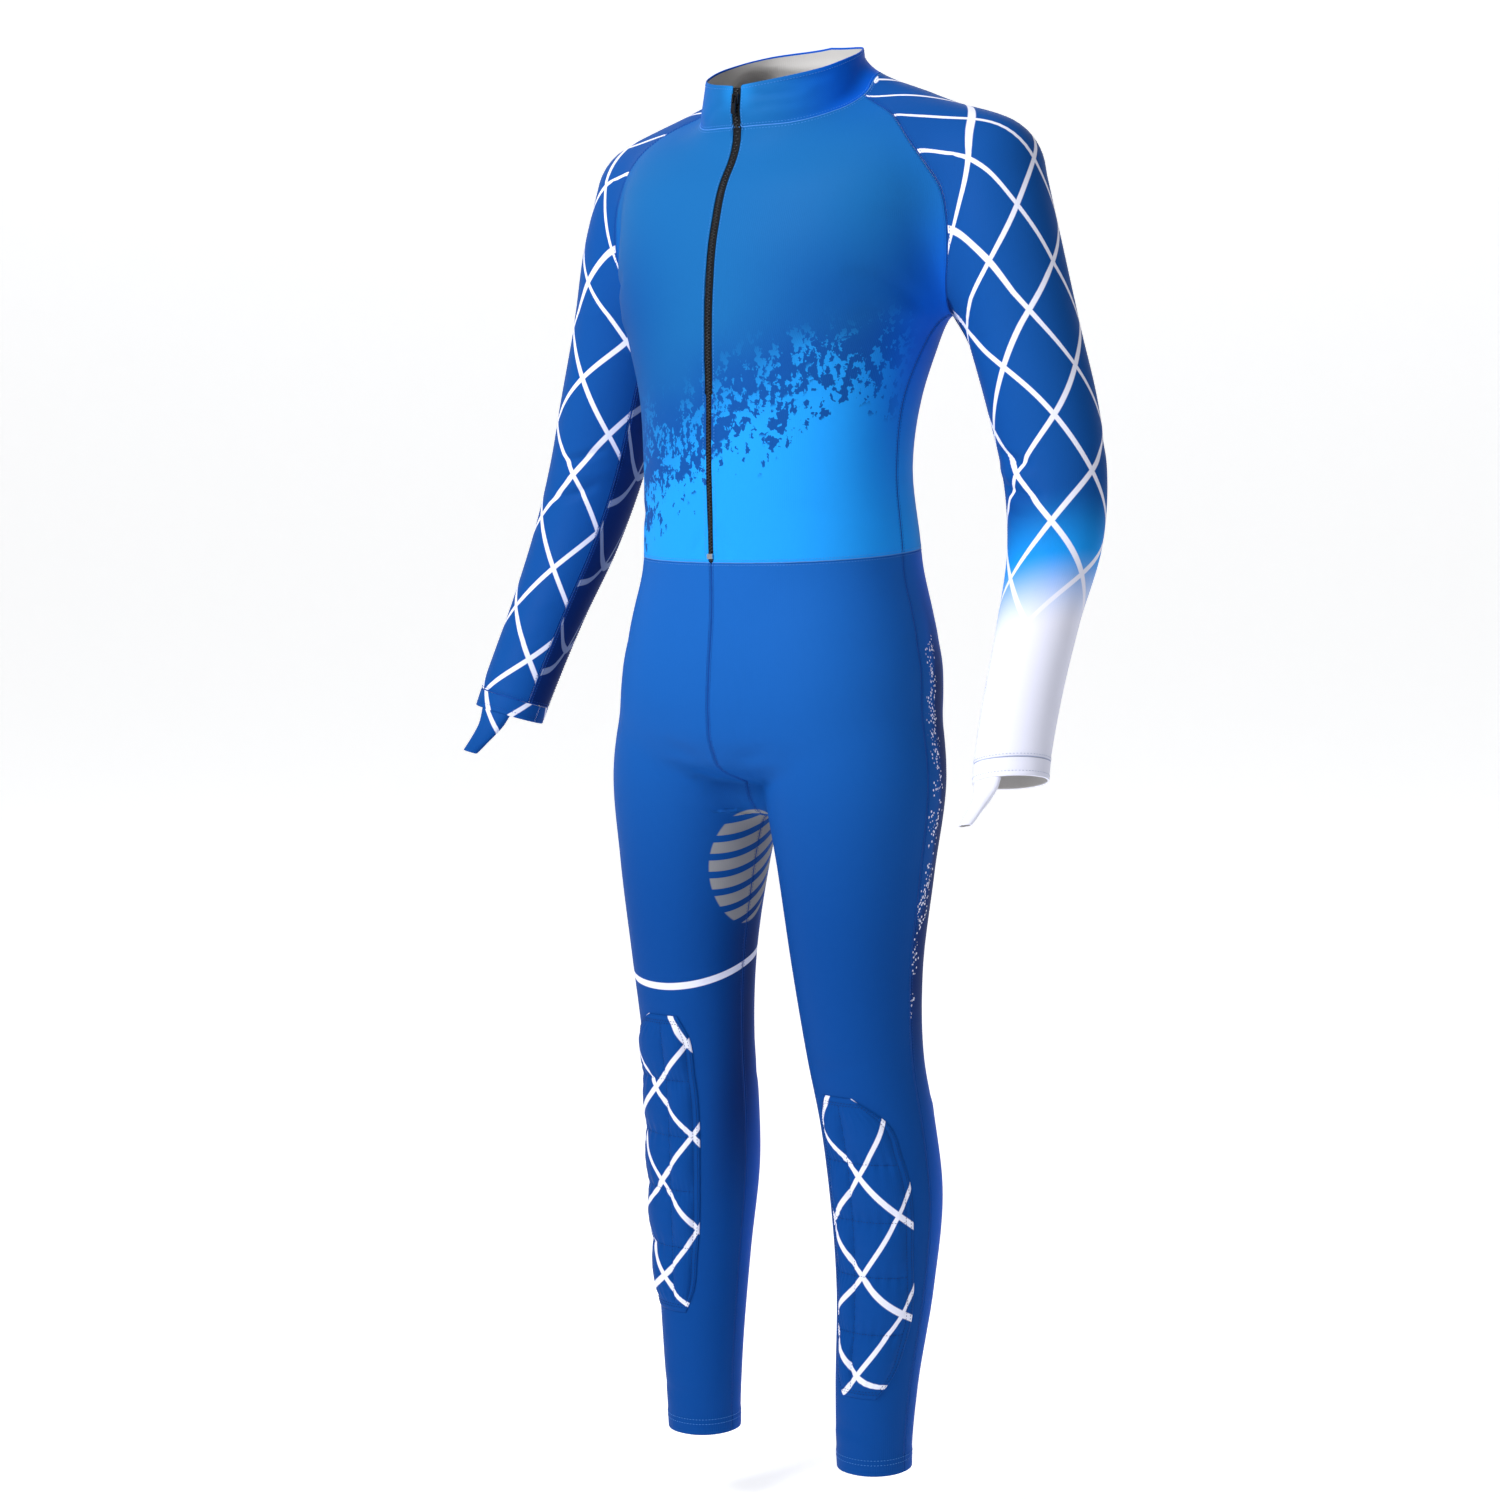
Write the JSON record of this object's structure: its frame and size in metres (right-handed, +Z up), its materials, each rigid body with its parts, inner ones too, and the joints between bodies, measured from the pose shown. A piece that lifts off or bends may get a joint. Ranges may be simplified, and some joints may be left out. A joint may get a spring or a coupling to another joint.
{
  "type": "speed skating suit",
  "caption": "Full-body speed skating suit with raglan sleeves, stand collar, front zip, thumb stalls and quilted shin pads, filled out and open at neck, wrists and ankles.",
  "frame": {"origin": "middle of the neck opening, level with the base of the wearer's neck, where the suit is held", "axes": "+Z up, -Y the wearer's front, +X the wearer's left"},
  "size_m": [0.723, 0.277, 1.4521],
  "materials": {
    "front_cloth": "smooth coated stretch knit, azure fading to mid blue",
    "body_cloth": "smooth coated stretch knit, mid blue",
    "left_sleeve_cloth": "smooth coated stretch knit, deep blue with a white forearm",
    "right_sleeve_cloth": "smooth coated stretch knit, mid blue with white bands",
    "underarm_cloth": "smooth stretch knit, navy",
    "left_cuff_cloth": "smooth stretch knit, pale lilac white",
    "collar_cloth": "smooth stretch knit, deep blue outside and pale inside",
    "pad_cloth": "quilted stretch knit over thin foam, mid blue",
    "zip_coil": "black nylon coil",
    "zip_metal": "black lacquered zinc",
    "zip_stop": "bright pressed aluminium"
  },
  "bodies": {
    "suit": {"front_left": "front_cloth", "front_right": "front_cloth", "back": "body_cloth", "leg_front_left": "body_cloth", "leg_front_right": "body_cloth", "leg_back_left": "body_cloth", "leg_back_right": "body_cloth", "sleeve_left": "left_sleeve_cloth", "sleeve_right": "right_sleeve_cloth", "underarm_left": "underarm_cloth", "underarm_right": "underarm_cloth", "cuff_left": "left_cuff_cloth", "cuff_right": "right_sleeve_cloth", "thumb_left": "left_cuff_cloth", "thumb_right": "right_sleeve_cloth", "collar": "collar_cloth", "shin_pad_left": "pad_cloth", "shin_pad_right": "pad_cloth", "zip_strip": "zip_coil", "zip_slider": "zip_metal", "zip_stop": "zip_stop"},
    "pull_tab": {"zip_pull": "zip_metal"}
  },
  "joints": [
    {"name": "pull_tab_hinge", "type": "hinge", "parent": "suit", "child": "pull_tab", "pos_m": [0, -0.11019, -0.01046], "axis": [-1, 0, 0], "range_deg": [0, 150]}
  ]
}
